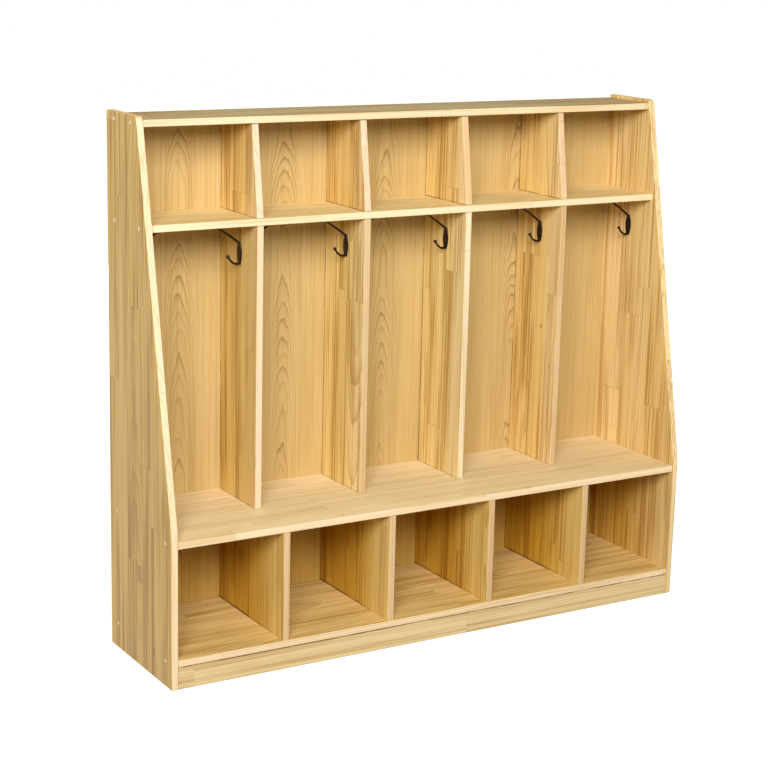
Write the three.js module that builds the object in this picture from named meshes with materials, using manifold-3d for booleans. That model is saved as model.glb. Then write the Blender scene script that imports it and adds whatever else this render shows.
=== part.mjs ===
// Five-bay mudroom locker: pine boards in stopped housings, through dowels, a plywood back and coat hooks
import * as THREE from "three";
import { mergeVertices } from "three/addons/utils/BufferGeometryUtils.js";
import Module from "manifold-3d";

const wasm = await Module();
wasm.setup();

// Millimetres: X across the bays, Y to the back, Z up; the origin is the footprint's middle, on the floor

// The whole unit
const unitWidth = 1372;
const unitDepth = 330;
const unitHeight = 1219;
const bayCount = 5;
const boardThickness = 16;
const jointGap = 0.3;
const cutOverrun = 5;

// Side panels: upright as far as the knee, then slanted back to a shallow top
const sideTopDepth = 158;
const kneeRise = 16;
const topLip = 8;
const sideEase = 2;
const topCornerRadius = 12;
const kneeRadius = 24;
const footRadius = 4;

// Long boards, by height above the floor, and how far their fronts sit behind the side panels' edges
const benchTop = 334;
const kickHeight = 51;
const cubbyClearHeight = 203;
const frontSetback = 1;
const hatShelfSetback = 14.4;
const dividerSetback = 1;
const edgeRadius = 2.5;

// Stopped housings: grooves in the long boards that hold the dividers' tongues, with a slit on both sides
const housingDepth = 4;
const housingStop = 14;
const housingSlack = 0.7;
const dividerBackGap = 0.8;

// Back panel, let into rabbets in the side panels and the top panel
const backThickness = 5;
const backInset = 1;
const backLap = 8;

// Dowels through the side panels into the ends of the long boards
const sideDowelRadius = 4.75;
const sideDowelEmbed = 32;
const dowelBackInset = 40;
const dowelFrontInset = 30;
const hatDowelFrontInset = 19;
const dowelChamfer = 1;

// Hidden dowels that stand in the kick board and hold it under the bottom shelf
const kickDowelCount = 3;
const kickDowelRadius = 4;
const kickDowelRise = 9;
const kickDowelDrop = 20;

// Coat hooks: a leaf-shaped plate, a long prong that rises outwards and a short one that curls up
const plateHeight = 50;
const plateWidth = 19.5;
const plateEndWidth = 8;
const plateThickness = 3.2;
const plateEase = 0.9;
const prongRadius = 2.7;
const upperReach = 58;
const upperRise = 39;
const upperBallRadius = 4.8;
const lowerReach = 30;
const lowerRise = 16;
const lowerBallRadius = 4.2;
const hookHeadroom = 6;
const hookSetback = 84;
const upperProngShares = [[0, 0], [0.06, 0.08], [0.5, 0.53], [1, 1]];
const lowerProngShares = [[0, 0], [0.2, -0.05], [0.45, 0], [0.75, 0.4], [1, 1]];

// Two short wood screws hold each hook, so that the screws of two hooks back to back never meet in the board
const screwHeadRadius = 3.8;
const screwShankRadius = 1.9;
const screwCrown = 0.9;
const screwTipLength = 3;
const screwTipGap = 1.5;
const screwPlateMargin = 1.6;
const crownShares = [[0, 1], [0.6, 0.7]];

// Facets round holes, pins, prongs, balls and eased corners
const holeSides = 16;
const pinSides = 12;
const screwSides = 10;
const prongHalfSides = 4;
const prongSteps = 8;
const ballSides = 8;
const ballRings = 5;
const cornerSegments = 3;

// Planes and levels that follow from the sizes
const sideOuter = unitWidth / 2;
const sideInner = sideOuter - boardThickness;
const unitFront = -unitDepth / 2;
const unitBack = unitDepth / 2;
const sideTopFront = unitBack - sideTopDepth;
const kneeHeight = benchTop + kneeRise;
const bottomShelfTop = kickHeight + boardThickness;
const topPanelTop = unitHeight - topLip;
const hatShelfTop = topPanelTop - boardThickness - cubbyClearHeight;
const backPanelFront = unitBack - backInset - backThickness;
const boardBack = backPanelFront - jointGap;
const dividerBack = backPanelFront - dividerBackGap;
const baseFront = unitFront + frontSetback;
const topPanelFront = slantedEdge(topPanelTop) + frontSetback;
const hatShelfFront = slantedEdge(hatShelfTop) + hatShelfSetback;
const bayPitch = (unitWidth - boardThickness) / bayCount;
const kickDowelSpacing = unitWidth / kickDowelCount;
const dividerCentres = Array.from({ length: bayCount - 1 }, (_, i) => (i + 1 - bayCount / 2) * bayPitch);
const boardHalfLength = sideInner - jointGap;

// The long boards that meet the side panels, each with the depth of its front dowel
const longBoards = {
  top_panel: { front: topPanelFront, back: unitBack, top: topPanelTop, dowelInset: dowelFrontInset },
  hat_shelf: { front: hatShelfFront, back: boardBack, top: hatShelfTop, dowelInset: hatDowelFrontInset },
  bench_seat: { front: baseFront, back: boardBack, top: benchTop, dowelInset: dowelFrontInset },
  bottom_shelf: { front: baseFront, back: boardBack, top: bottomShelfTop, dowelInset: dowelFrontInset },
};

// Hook and screw places: the upper ball hangs a little under the hat shelf
const prongRoot = plateHeight / 2 - prongRadius;
const hookHeight = hatShelfTop - boardThickness - hookHeadroom - upperBallRadius - upperRise - prongRoot;
const hookDepth = hatShelfFront + hookSetback;
const screwOffset = prongRoot - prongRadius - screwHeadRadius - screwPlateMargin;
const screwBite = boardThickness / 2 - screwTipGap;

const pine = new THREE.MeshStandardMaterial({ color: 0xd8b06e, roughness: 0.5, metalness: 0 });
const plywood = new THREE.MeshStandardMaterial({ color: 0xcfa564, roughness: 0.55, metalness: 0 });
const dowelWood = new THREE.MeshStandardMaterial({ color: 0xead2a0, roughness: 0.6, metalness: 0 });
const bronze = new THREE.MeshStandardMaterial({ color: 0x33211a, roughness: 0.35, metalness: 0.85 });

// Where the side panels' slanted front edge lies at a height above the knee
function slantedEdge(height) {
  const climbed = (height - kneeHeight) / (unitHeight - kneeHeight);
  return unitFront + climbed * (sideTopFront - unitFront);
}

// A closed geometry as a solid that can be cut and joined
function toSolid(geometry) {
  const bare = geometry.clone();
  bare.deleteAttribute("normal");
  bare.deleteAttribute("uv");
  const merged = mergeVertices(bare);
  const corners = merged.index.array;
  const kept = [];
  for (let i = 0; i < corners.length; i += 3) {
    const [a, b, c] = [corners[i], corners[i + 1], corners[i + 2]];
    if (a !== b && b !== c && c !== a) kept.push(a, b, c);
  }
  return new wasm.Manifold(
    new wasm.Mesh({
      numProp: 3,
      vertProperties: merged.attributes.position.array,
      triVerts: new Uint32Array(kept),
    }),
  );
}

function toMesh(name, solid, material) {
  const { vertProperties, triVerts } = solid.getMesh();
  const geometry = new THREE.BufferGeometry();
  geometry.setAttribute("position", new THREE.BufferAttribute(vertProperties, 3));
  geometry.setIndex(new THREE.BufferAttribute(triVerts, 1));
  geometry.computeVertexNormals();
  const mesh = new THREE.Mesh(geometry, material);
  mesh.name = name;
  return mesh;
}

function block([xLow, xHigh], [yLow, yHigh], [zLow, zHigh]) {
  const box = new THREE.BoxGeometry(xHigh - xLow, yHigh - yLow, zHigh - zLow);
  box.translate((xLow + xHigh) / 2, (yLow + yHigh) / 2, (zLow + zHigh) / 2);
  return toSolid(box);
}

function ordered(a, b) {
  return [Math.min(a, b), Math.max(a, b)];
}

function rodAlongX(radius, [xLow, xHigh], y, z) {
  const rod = new THREE.CylinderGeometry(radius, radius, xHigh - xLow, holeSides);
  rod.rotateZ(Math.PI / 2);
  rod.translate((xLow + xHigh) / 2, y, z);
  return toSolid(rod);
}

// A closed outline of [across, up, corner size] points, each corner turned by a curve of that size
function roundedOutline(points) {
  const shape = new THREE.Shape();
  points.forEach(([x, y, size], i) => {
    const corner = new THREE.Vector2(x, y);
    const previous = new THREE.Vector2(...points.at(i - 1));
    const next = new THREE.Vector2(...points[(i + 1) % points.length]);
    const before = previous.sub(corner).setLength(size).add(corner);
    const after = next.sub(corner).setLength(size).add(corner);
    if (i === 0) {
      shape.moveTo(before.x, before.y);
    } else {
      shape.lineTo(before.x, before.y);
    }
    if (size > 0) shape.quadraticCurveTo(corner.x, corner.y, after.x, after.y);
  });
  return shape;
}

// An outline in Y and Z run along X, with its long edges eased on both faces
function alongX(outline, [xLow, xHigh], ease) {
  const geometry = new THREE.ExtrudeGeometry(outline, {
    depth: xHigh - xLow - 2 * ease,
    bevelEnabled: ease > 0,
    bevelSize: ease,
    bevelThickness: ease,
    bevelOffset: -ease,
    bevelSegments: 2,
    curveSegments: cornerSegments,
  });
  const acrossIsY = new THREE.Vector3(0, 1, 0);
  const upIsZ = new THREE.Vector3(0, 0, 1);
  const depthIsX = new THREE.Vector3(1, 0, 0);
  geometry.applyMatrix4(new THREE.Matrix4().makeBasis(acrossIsY, upIsZ, depthIsX));
  geometry.translate(xLow + ease, 0, 0);
  return toSolid(geometry);
}

// The centres of a long board's two dowels at each end
function dowelPlaces({ front, top, dowelInset }) {
  const height = top - boardThickness / 2;
  return [
    { name: "front", y: front + dowelInset, z: height },
    { name: "back", y: unitBack - dowelBackInset, z: height },
  ];
}

// Blind holes for a hook's two screws, in a face whose wood lies on its +X side for 1, its -X side for -1
function pilotHoles(face, inwards) {
  const span = ordered(face - inwards * cutOverrun, face + inwards * (screwBite + jointGap));
  const holes = [-screwOffset, screwOffset].map((offset) =>
    rodAlongX(screwShankRadius + jointGap, span, hookDepth, hookHeight + offset),
  );
  return holes[0].add(holes[1]);
}

// A side panel, left for -1 and right for 1: rabbet for the back panel and holes for the dowels and screws
function sidePanel(side) {
  const outline = roundedOutline([
    [unitFront, 0, footRadius],
    [unitBack, 0, footRadius],
    [unitBack, unitHeight, footRadius],
    [sideTopFront, unitHeight, topCornerRadius],
    [unitFront, kneeHeight, kneeRadius],
  ]);
  let panel = alongX(outline, ordered(side * sideInner, side * sideOuter), sideEase);
  const rabbetSpan = ordered(side * (sideInner - cutOverrun), side * (sideInner + backLap));
  const rabbetHeights = [kickHeight - jointGap, topPanelTop - boardThickness + backLap];
  panel = panel.subtract(block(rabbetSpan, [boardBack, unitBack + cutOverrun], rabbetHeights));
  const holeSpan = ordered(side * (sideInner - cutOverrun), side * (sideOuter + cutOverrun));
  for (const board of Object.values(longBoards)) {
    for (const { y, z } of dowelPlaces(board)) {
      panel = panel.subtract(rodAlongX(sideDowelRadius + jointGap, holeSpan, y, z));
    }
  }
  return panel.subtract(pilotHoles(side * sideInner, side));
}

// Grooves for the dividers in one face of a long board, open at its back edge and stopped short of its front
function housings(front, faceHeight, direction) {
  const start = front + dividerSetback + housingStop - jointGap;
  const heights = ordered(faceHeight + direction * cutOverrun, faceHeight - direction * housingDepth);
  const halfWidth = boardThickness / 2 + housingSlack;
  return dividerCentres
    .map((x) => block([x - halfWidth, x + halfWidth], [start, unitBack + cutOverrun], heights))
    .reduce((all, groove) => all.add(groove));
}

// A long board with eased front edges and blind holes in its ends for the dowels
function longBoard(board) {
  const { front, back, top } = board;
  const underside = top - boardThickness;
  const section = roundedOutline([
    [front, underside, edgeRadius],
    [back, underside, 0],
    [back, top, 0],
    [front, top, edgeRadius],
  ]);
  let solid = alongX(section, [-boardHalfLength, boardHalfLength], 0);
  const holeFloor = boardHalfLength - sideDowelEmbed - jointGap;
  for (const { y, z } of dowelPlaces(board)) {
    for (const side of [-1, 1]) {
      const span = ordered(side * holeFloor, side * (boardHalfLength + cutOverrun));
      solid = solid.subtract(rodAlongX(sideDowelRadius + jointGap, span, y, z));
    }
  }
  return solid;
}

function topPanel() {
  const underside = topPanelTop - boardThickness;
  const rabbet = block(
    [-sideOuter, sideOuter],
    [boardBack, unitBack + cutOverrun],
    [underside - cutOverrun, underside + backLap],
  );
  return longBoard(longBoards.top_panel).subtract(housings(topPanelFront, underside, -1)).subtract(rabbet);
}

function hatShelf() {
  const underside = hatShelfTop - boardThickness;
  return longBoard(longBoards.hat_shelf)
    .subtract(housings(hatShelfFront, hatShelfTop, 1))
    .subtract(housings(hatShelfFront, underside, -1));
}

function benchSeat() {
  return longBoard(longBoards.bench_seat)
    .subtract(housings(hatShelfFront, benchTop, 1))
    .subtract(housings(baseFront, benchTop - boardThickness, -1));
}

function bottomShelf() {
  const shelf = longBoard(longBoards.bottom_shelf).subtract(housings(baseFront, bottomShelfTop, 1));
  return drillKickDowels(shelf);
}

// The kick board closes the space under the bottom shelf, flush with its front edge
function kickBoard() {
  const section = roundedOutline([
    [baseFront, 0, edgeRadius],
    [baseFront + boardThickness, 0, 0],
    [baseFront + boardThickness, kickHeight - jointGap, 0],
    [baseFront, kickHeight - jointGap, 0],
  ]);
  return drillKickDowels(alongX(section, [-boardHalfLength, boardHalfLength], 0));
}

// Where the kick board's dowels cross its top edge
function kickDowelPlaces() {
  const spread = Array.from({ length: kickDowelCount }, (_, i) => i - (kickDowelCount - 1) / 2);
  const depth = baseFront + boardThickness / 2;
  return spread.map((steps) => new THREE.Vector3(steps * kickDowelSpacing, depth, kickHeight));
}

// Takes the kick dowels' holes out of a board
function drillKickDowels(board) {
  const radius = kickDowelRadius + jointGap;
  const length = kickDowelRise + kickDowelDrop + 2 * jointGap;
  return kickDowelPlaces().reduce((drilled, place) => {
    const hole = new THREE.CylinderGeometry(radius, radius, length, holeSides);
    hole.rotateX(Math.PI / 2);
    hole.translate(place.x, place.y, place.z + (kickDowelRise - kickDowelDrop) / 2);
    return drilled.subtract(toSolid(hole));
  }, board);
}

function backPanel() {
  const halfWidth = sideInner + backLap - jointGap;
  const top = topPanelTop - boardThickness + backLap - jointGap;
  return block([-halfWidth, halfWidth], [backPanelFront, unitBack - backInset], [kickHeight, top]);
}

// A slab as thick as a board whose front edge, eased on both sides, runs from one point in Y and Z to another
function easedSlab(low, high) {
  const run = new THREE.Vector2().subVectors(high, low);
  const half = boardThickness / 2;
  const section = roundedOutline([
    [-half, 0, edgeRadius],
    [half, 0, edgeRadius],
    [half, unitDepth + cutOverrun, 0],
    [-half, unitDepth + cutOverrun, 0],
  ]);
  const slab = new THREE.ExtrudeGeometry(section, {
    depth: run.length() + unitHeight,
    bevelEnabled: false,
    curveSegments: cornerSegments,
  });
  slab.translate(0, 0, -unitHeight / 2);
  slab.rotateX(-Math.atan2(run.x, run.y));
  slab.translate(0, low.x, low.y);
  return toSolid(slab);
}

// A divider between two long boards, with tongues that stop short of its front edge
function divider(lowerFront, lowerTop, upperFront, upperUnderside) {
  const low = new THREE.Vector2(lowerFront + dividerSetback, lowerTop + jointGap);
  const high = new THREE.Vector2(upperFront + dividerSetback, upperUnderside - jointGap);
  const outline = roundedOutline([
    [low.x, low.y, 0],
    [low.x + housingStop, low.y, 0],
    [low.x + housingStop, low.y - housingDepth, 0],
    [dividerBack, low.y - housingDepth, 0],
    [dividerBack, high.y + housingDepth, 0],
    [high.x + housingStop, high.y + housingDepth, 0],
    [high.x + housingStop, high.y, 0],
    [high.x, high.y, 0],
  ]);
  const half = boardThickness / 2;
  return alongX(outline, [-half, half], 0).intersect(easedSlab(low, high));
}

// A round pin along Y from its flat outer end at zero to its chamfered inner end
function pinGeometry(radius, length) {
  const profile = [
    new THREE.Vector2(0, 0),
    new THREE.Vector2(radius, 0),
    new THREE.Vector2(radius, length - dowelChamfer),
    new THREE.Vector2(radius - dowelChamfer, length),
    new THREE.Vector2(0, length),
  ];
  return new THREE.LatheGeometry(profile, pinSides);
}

// A round bar that follows shares of a reach outwards, along -X, and a rise, and ends in a ball
function prong(shares, reach, rise, rootHeight, ballRadius) {
  const rootOut = plateThickness / 2;
  const places = shares.map(
    ([out, up]) => new THREE.Vector3(-rootOut - out * (reach - rootOut), 0, rootHeight + up * rise),
  );
  const section = new THREE.Shape().absarc(0, 0, prongRadius, 0, 2 * Math.PI);
  const bar = new THREE.ExtrudeGeometry(section, {
    steps: prongSteps,
    curveSegments: prongHalfSides,
    bevelEnabled: false,
    extrudePath: new THREE.CatmullRomCurve3(places),
  });
  const end = places.at(-1);
  const ball = new THREE.SphereGeometry(ballRadius, ballSides, ballRings);
  ball.translate(end.x, end.y, end.z);
  return toSolid(bar).add(toSolid(ball));
}

// A hook's plate, its back on X zero, with a curved outline that narrows towards both ends
function hookPlate() {
  const halfHeight = plateHeight / 2;
  const halfEnd = plateEndWidth / 2;
  const belly = plateWidth - halfEnd;
  const outline = new THREE.Shape();
  outline.moveTo(halfEnd, -halfHeight);
  outline.quadraticCurveTo(belly, 0, halfEnd, halfHeight);
  outline.lineTo(-halfEnd, halfHeight);
  outline.quadraticCurveTo(-belly, 0, -halfEnd, -halfHeight);
  return alongX(outline, [-plateThickness, plateEase], plateEase);
}

// A wood screw along X with the rim of its head at zero and its tip towards +X
function hookScrew() {
  const length = plateThickness + jointGap + screwBite;
  const crown = crownShares.map(
    ([across, up]) => new THREE.Vector2(across * screwHeadRadius, -up * screwCrown),
  );
  const profile = [
    ...crown,
    new THREE.Vector2(screwHeadRadius, 0),
    new THREE.Vector2(screwShankRadius, screwHeadRadius - screwShankRadius),
    new THREE.Vector2(screwShankRadius, length - screwTipLength),
    new THREE.Vector2(0, length),
  ];
  const body = new THREE.LatheGeometry(profile, screwSides);
  body.rotateZ(-Math.PI / 2);
  return body;
}

// A cast hook with its two screws, which point to +X as the prongs point to -X
function coatHook() {
  const behind = block([0, upperReach], [-plateWidth, plateWidth], [-plateHeight, plateHeight]);
  const casting = hookPlate()
    .add(prong(upperProngShares, upperReach, upperRise, prongRoot, upperBallRadius))
    .add(prong(lowerProngShares, lowerReach, lowerRise, -prongRoot, lowerBallRadius))
    .subtract(behind);
  const upperScrew = toSolid(hookScrew().translate(-plateThickness, 0, screwOffset));
  const lowerScrew = toSolid(hookScrew().translate(-plateThickness, 0, -screwOffset));
  return casting.add(upperScrew).add(lowerScrew);
}

function addBoards(unit) {
  unit.add(toMesh("left_side_panel", sidePanel(-1), pine));
  unit.add(toMesh("right_side_panel", sidePanel(1), pine));
  unit.add(toMesh("top_panel", topPanel(), pine));
  unit.add(toMesh("hat_shelf", hatShelf(), pine));
  unit.add(toMesh("bench_seat", benchSeat(), pine));
  unit.add(toMesh("bottom_shelf", bottomShelf(), pine));
  unit.add(toMesh("kick_board", kickBoard(), pine));
  unit.add(toMesh("back_panel", backPanel(), plywood));
}

// Three dividers, one above the other, part each bay from the next
function addDividers(unit) {
  const upper = divider(hatShelfFront, hatShelfTop, topPanelFront, topPanelTop - boardThickness);
  const middle = divider(hatShelfFront, benchTop, hatShelfFront, hatShelfTop - boardThickness);
  const lower = divider(baseFront, bottomShelfTop, baseFront, benchTop - boardThickness);
  const half = boardThickness / 2;
  const drilled = middle.subtract(pilotHoles(-half, 1)).subtract(pilotHoles(half, -1));
  dividerCentres.forEach((x, i) => {
    for (const [name, solid] of [["upper", upper], ["middle", drilled], ["lower", lower]]) {
      const mesh = toMesh(`${name}_divider_${i + 1}`, solid, pine);
      mesh.position.x = x;
      unit.add(mesh);
    }
  });
}

function addDowels(unit) {
  const sidePin = toSolid(pinGeometry(sideDowelRadius, boardThickness + jointGap + sideDowelEmbed));
  for (const [sideName, side] of [["left", -1], ["right", 1]]) {
    for (const [boardName, board] of Object.entries(longBoards)) {
      for (const { name, y, z } of dowelPlaces(board)) {
        const pin = toMesh(`side_dowel_${sideName}_${boardName}_${name}`, sidePin, dowelWood);
        pin.rotation.z = (side * Math.PI) / 2;
        pin.position.set(side * sideOuter, y, z);
        unit.add(pin);
      }
    }
  }
  const kickPin = toSolid(pinGeometry(kickDowelRadius, kickDowelRise + kickDowelDrop));
  kickDowelPlaces().forEach((place, i) => {
    const pin = toMesh(`kick_dowel_${i + 1}`, kickPin, dowelWood);
    pin.rotation.x = Math.PI / 2;
    pin.position.set(place.x, place.y, place.z - kickDowelDrop);
    unit.add(pin);
  });
}

// Two hooks in each bay face each other, one on its left wall and one on its right
function addHooks(unit) {
  const hook = coatHook();
  const half = boardThickness / 2;
  const rightWalls = [...dividerCentres.map((x) => x - half), sideInner];
  const leftWalls = [-sideInner, ...dividerCentres.map((x) => x + half)];
  for (let bay = 0; bay < bayCount; bay += 1) {
    const onLeft = toMesh(`coat_hook_bay_${bay + 1}_left`, hook, bronze);
    onLeft.rotation.z = Math.PI;
    onLeft.position.set(leftWalls[bay] + jointGap, hookDepth, hookHeight);
    const onRight = toMesh(`coat_hook_bay_${bay + 1}_right`, hook, bronze);
    onRight.position.set(rightWalls[bay] - jointGap, hookDepth, hookHeight);
    unit.add(onLeft, onRight);
  }
}

const locker = new THREE.Group();
addBoards(locker);
addDividers(locker);
addDowels(locker);
addHooks(locker);

export default locker;
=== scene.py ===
# A five-bay mudroom coat locker in lacquered pine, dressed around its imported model
import math

import bmesh
import bpy
from mathutils import Matrix, Vector


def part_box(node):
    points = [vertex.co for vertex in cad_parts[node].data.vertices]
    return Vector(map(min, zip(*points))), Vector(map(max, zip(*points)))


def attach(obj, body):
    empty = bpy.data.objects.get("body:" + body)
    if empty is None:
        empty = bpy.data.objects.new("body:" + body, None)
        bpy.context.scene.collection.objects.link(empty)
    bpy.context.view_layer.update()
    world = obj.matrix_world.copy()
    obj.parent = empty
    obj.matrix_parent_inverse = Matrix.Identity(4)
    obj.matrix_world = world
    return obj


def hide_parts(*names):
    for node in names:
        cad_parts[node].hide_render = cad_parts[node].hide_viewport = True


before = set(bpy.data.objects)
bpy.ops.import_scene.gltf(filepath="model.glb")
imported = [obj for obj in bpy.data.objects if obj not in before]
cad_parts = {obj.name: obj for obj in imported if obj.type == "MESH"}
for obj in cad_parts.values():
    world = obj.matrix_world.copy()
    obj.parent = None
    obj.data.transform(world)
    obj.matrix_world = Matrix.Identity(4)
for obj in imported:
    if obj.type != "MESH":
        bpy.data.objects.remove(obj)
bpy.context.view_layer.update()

# Metres: X runs across the bays, Y to the back, Z up

# The camera that took the photograph, solved on the unit's corners, and its picture of 768 by 768 pixels
PICTURE_SIDE = 768
FOCAL_PIXELS = 1899.85
SENSOR_WIDTH_MM = 36
CAMERA_PLACE = Vector((-2.2872, -3.6672, 1.6188))
CAMERA_PITCH = math.radians(13.59)
CAMERA_YAW = math.radians(31.15)
CAMERA_ROLL = math.radians(1.40)
CAMERA_REACH = 100

# The ways that grain and boards' widths run
ACROSS_THE_BAYS = Vector((1, 0, 0))
TO_THE_BACK = Vector((0, 1, 0))
UPWARDS = Vector((0, 0, 1))

# The axes' places in a point
BAYS_AXIS = 0
DEPTH_AXIS = 1
HEIGHT_AXIS = 2

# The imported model's nodes, by the way that they are dressed
SIDE_PANELS = ["left_side_panel", "right_side_panel"]
DIVIDERS = [f"{level}_divider_{number}" for level in ("upper", "middle", "lower") for number in (1, 2, 3, 4)]
TOP_PANEL = "top_panel"
LONG_BOARDS = [TOP_PANEL, "hat_shelf", "bench_seat", "bottom_shelf"]
KICK_BOARD = "kick_board"
BACK_PANEL = "back_panel"
KICK_DOWELS = ["kick_dowel_1", "kick_dowel_2", "kick_dowel_3"]
SIDE_DOWELS = sorted(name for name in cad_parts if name.startswith("side_dowel_"))
COAT_HOOKS = sorted(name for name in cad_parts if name.startswith("coat_hook_"))

# Edges sharper than the crisp angle stay crisp and the others shade as one curve. Triangles that meet within
# the flat angle are one face
CRISP_ANGLE = math.radians(50)
FLAT_ANGLE = math.radians(0.5)
MERGE_DISTANCE = 0.00001

# Below, a pair named SPREAD holds a least value and what a pattern adds to it at most

# Glued pine: staves side by side, each finger-jointed from blocks
STAVE_WIDTH = 0.058
KICK_STAVE_WIDTH = 0.4
BLOCK_LENGTH = 0.80
FINGER_PITCH = 0.0055
FINGER_LENGTH = 0.012
PINE_RING_WIDTH = 0.0040
PINE_SWELL = 0.014
PINE_SHARPNESS = 2.6
PINE_BUMP = 0.00012
PINE_LIGHT = (0.89, 0.66, 0.260, 1)
PINE_WARM = (0.82, 0.565, 0.180, 1)
PINE_STREAK = (0.48, 0.265, 0.052, 1)
PINE_LATEWOOD = (0.42, 0.195, 0.034, 1)
PINE_SEAM = (0.30, 0.15, 0.035, 1)
PINE_KNOT = (0.30, 0.135, 0.035, 1)

# Each board's grain starts from its own seed, and each block's from its board's seed and its own place
FIRST_SEED = 1.7
SEED_STEP = 2.9
STAVE_SEED_STEP = 7.31
BLOCK_SEED_STEP = 3.17

# Numbers that keep the noises and the draws made from one seed apart
STAVE_START_RATE = 0.61
WANDER_SEED_RATE = 0.37
SWELL_SEED_RATE = 0.61
SWELL_SEED_START = 9.1
STAVE_DRAW = 3.1
LOG_DRAW = 0.5
KNOT_DRAW = 0.7
RING_DRAW = 0.5

# Staves and blocks differ in size and start: how far a joint strays, in shares of a width or length, how
# fast, and within how many lengths of each other the staves' blocks start
STAVE_STRAY_SHARE = 0.22
STAVE_STRAY_RATE = 2.3
BLOCK_STRAY_SHARE = 0.24
BLOCK_STRAY_RATE = 1.9
BLOCK_START_REACH = 9.0

# How much of a block's tone and warmth is its whole stave's
STAVE_TONE_SHARE = 0.75
STAVE_WARMTH_SHARE = 0.70

# Where a seam's line begins and is full, in shares of a width or length from its middle, and how dark it is
SIDE_SEAM_SHARES = (0.488, 0.499)
END_SEAM_SHARES = (0.4975, 0.4995)
SEAM_STRENGTH = 0.16

# Each block is cut from another place in a log: where its pith lies, how wide its rings are and how it leans
PITH_SIDEWAYS = 0.24
PITH_DEPTH_SPREAD = (0.012, 0.08)
RING_SCALE_SPREAD = (0.7, 0.9)
BLOCK_LEAN = 0.08

# Few blocks have a knot: the draws that give one, its place in the block, the softness of its edge and the
# radii between which it comes to show
KNOT_CHANCES = (0.78, 1.0)
KNOT_RADIUS = 0.0075
KNOT_LOWEST_SHARE = 0.15
KNOT_HEIGHT_SHARE = 0.7
KNOT_SIDE_SHARE = 0.6
KNOT_LENGTH_SHARE = 0.7
KNOT_EDGE = 0.0030
KNOT_SHOWS = (0.0004, 0.0030)
KNOT_STRENGTH = 0.75

# The grain bends round a knot: within which distances, round knots of which radii, and how much
BEND_REACH = (0.028, 0.003)
BEND_SHOWS = (0.0004, 0.0020)
BEND_STRENGTH = 0.75

# A log's pith wanders sideways and in depth, and its rings ripple: changes in a metre, and their size
PITH_WANDER_RATE = 2.6
PITH_WANDER = 0.012
PITH_SWELL_RATE = 3.7
RIPPLE_RATE_ALONG = 14.0
RIPPLE_RATE_ACROSS = 60.0
RIPPLE = 0.0030

# Rings are counted from this number, so that none is negative. Latewood darkens up to this share of its ring
FIRST_RING = 40.0
LATEWOOD_END = 0.93
RING_STRENGTH_SPREAD = (0.3, 0.7)

# The wood's fibre: changes in a metre along the grain and across it, and the noise's detail and roughness
FIBRE_KINDS = [
    ("Band", 2.6, 26.0, 1.0, 0.5),
    ("Streak", 1.8, 190.0, 3.0, 0.6),
    ("Fibre", 26.0, 700.0, 2.0, 0.6),
]

# Front edges show more of the pale wood, partly from sanding and partly as painted light; on two boards less
PALE_AND_LIT_WOOD = (0.88, 0.715, 0.48, 1)
PALE_AND_LIT_STREAK = (0.74, 0.53, 0.25, 1)
SANDED_AND_LIT_SHARE = 0.78
SANDED_AND_LIT_SHARES = {"kick_board": 0.42, "right_side_panel": 0.45}

# How much a face has to look to the front to count as a front edge, at first and in full
FRONT_EDGE_TURNS = (0.35, 0.9)

# How much paler than plain pine some boards' faces are. On the bench seat and the hat shelf it is painted
# light
PALENESS = {
    "kick_board": 0.35,
    "bench_seat": 0.80,
    "hat_shelf": 0.60,
    "right_side_panel": 0.12,
    "bottom_shelf": 0.20,
}

# The tints of boards' faces and front edges. A divider without its own takes that of its level's dividers
FACE_TINTS_AND_PAINTED_LIGHT = {
    # Painted shade: the top panel darker and greyer, as where light only grazes its top
    "top_panel": (0.72, 0.79, 1.02, 1),
    "hat_shelf": (1.00, 1.04, 0.88, 1),
    "left_side_panel": (0.93, 0.87, 0.72, 1),
    "bottom_shelf": (1.00, 0.98, 0.84, 1),
    # Painted shade: the lower dividers darker and deeper in colour, as in the bench's shade
    "lower_divider": (0.97, 0.92, 0.60, 1),
    "middle_divider_1": (0.86, 0.86, 0.72, 1),
    # Painted light: the second and third middle dividers paler, as where light falls on them
    "middle_divider_2": (1.04, 1.10, 1.12, 1),
    "middle_divider_3": (1.04, 1.12, 1.20, 1),
    # Painted light: the bench seat brighter, as if lit from above
    "bench_seat": (1.02, 1.07, 1.04, 1),
}
# The edge tints scale the front edges' paleness, which is partly painted light
EDGE_TINTS = {
    "upper_divider": (1.00, 0.90, 0.96, 1),
    "upper_divider_3": (0.84, 0.68, 0.54, 1),
    "upper_divider_4": (0.86, 0.75, 0.68, 1),
    "middle_divider": (0.97, 0.90, 0.93, 1),
    "middle_divider_2": (0.79, 0.72, 0.60, 1),
    "middle_divider_3": (1.00, 1.07, 1.12, 1),
    "middle_divider_4": (0.80, 0.72, 0.58, 1),
    "lower_divider": (0.78, 0.70, 0.59, 1),
    "kick_board": (0.92, 0.95, 1.00, 1),
}
PLAIN_TINT = (1.0, 1.0, 1.0, 1)

# The dividers grow paler towards the front from between two shares of the depth before their middle, partly
# as paler sapwood and partly as painted light. Staves of little warmth on all boards are paler sapwood too
FRONT_SAPWOOD_AND_LIGHT_SHARE = 0.30
FRONT_SAPWOOD_AND_LIGHT_DEPTHS = (0.12, 0.36)
SAPWOOD_SHARE = 0.14
SAPWOOD_WARMTHS = (0.30, 0.10)

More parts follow.
